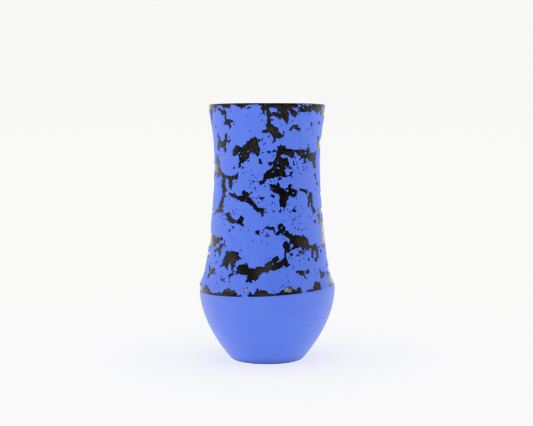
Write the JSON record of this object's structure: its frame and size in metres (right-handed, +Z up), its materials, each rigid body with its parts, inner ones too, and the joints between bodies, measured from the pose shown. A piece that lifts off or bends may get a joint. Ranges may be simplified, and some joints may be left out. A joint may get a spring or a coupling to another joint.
{
  "type": "vase",
  "caption": "Tall waisted stoneware vase with an angular shoulder, a patchy matt blue coat broken over glossy black glaze, and a smooth blue belly.",
  "frame": {"origin": "centre of the foot ring's standing face, on the axis", "axes": "+Z up along the turning axis, from the foot to the lip; -Y is the front"},
  "size_m": [0.1075, 0.1076, 0.2],
  "materials": {
    "fired_clay": "matt, fired stoneware",
    "joining_slip": "matt, fired slip",
    "liner_glaze": "gloss",
    "dark_glaze": "gloss",
    "blue_crust": "dry matt",
    "blue_slip": "satin matt"
  },
  "bodies": {
    "root": {"bowl_section": "fired_clay", "upper_section": "fired_clay", "luting_slip": "joining_slip", "seam_coil": "fired_clay", "liner_glaze": "liner_glaze", "dark_glaze": "dark_glaze", "blue_crust": "blue_crust", "belly_slip": "blue_slip"}
  },
  "joints": []
}
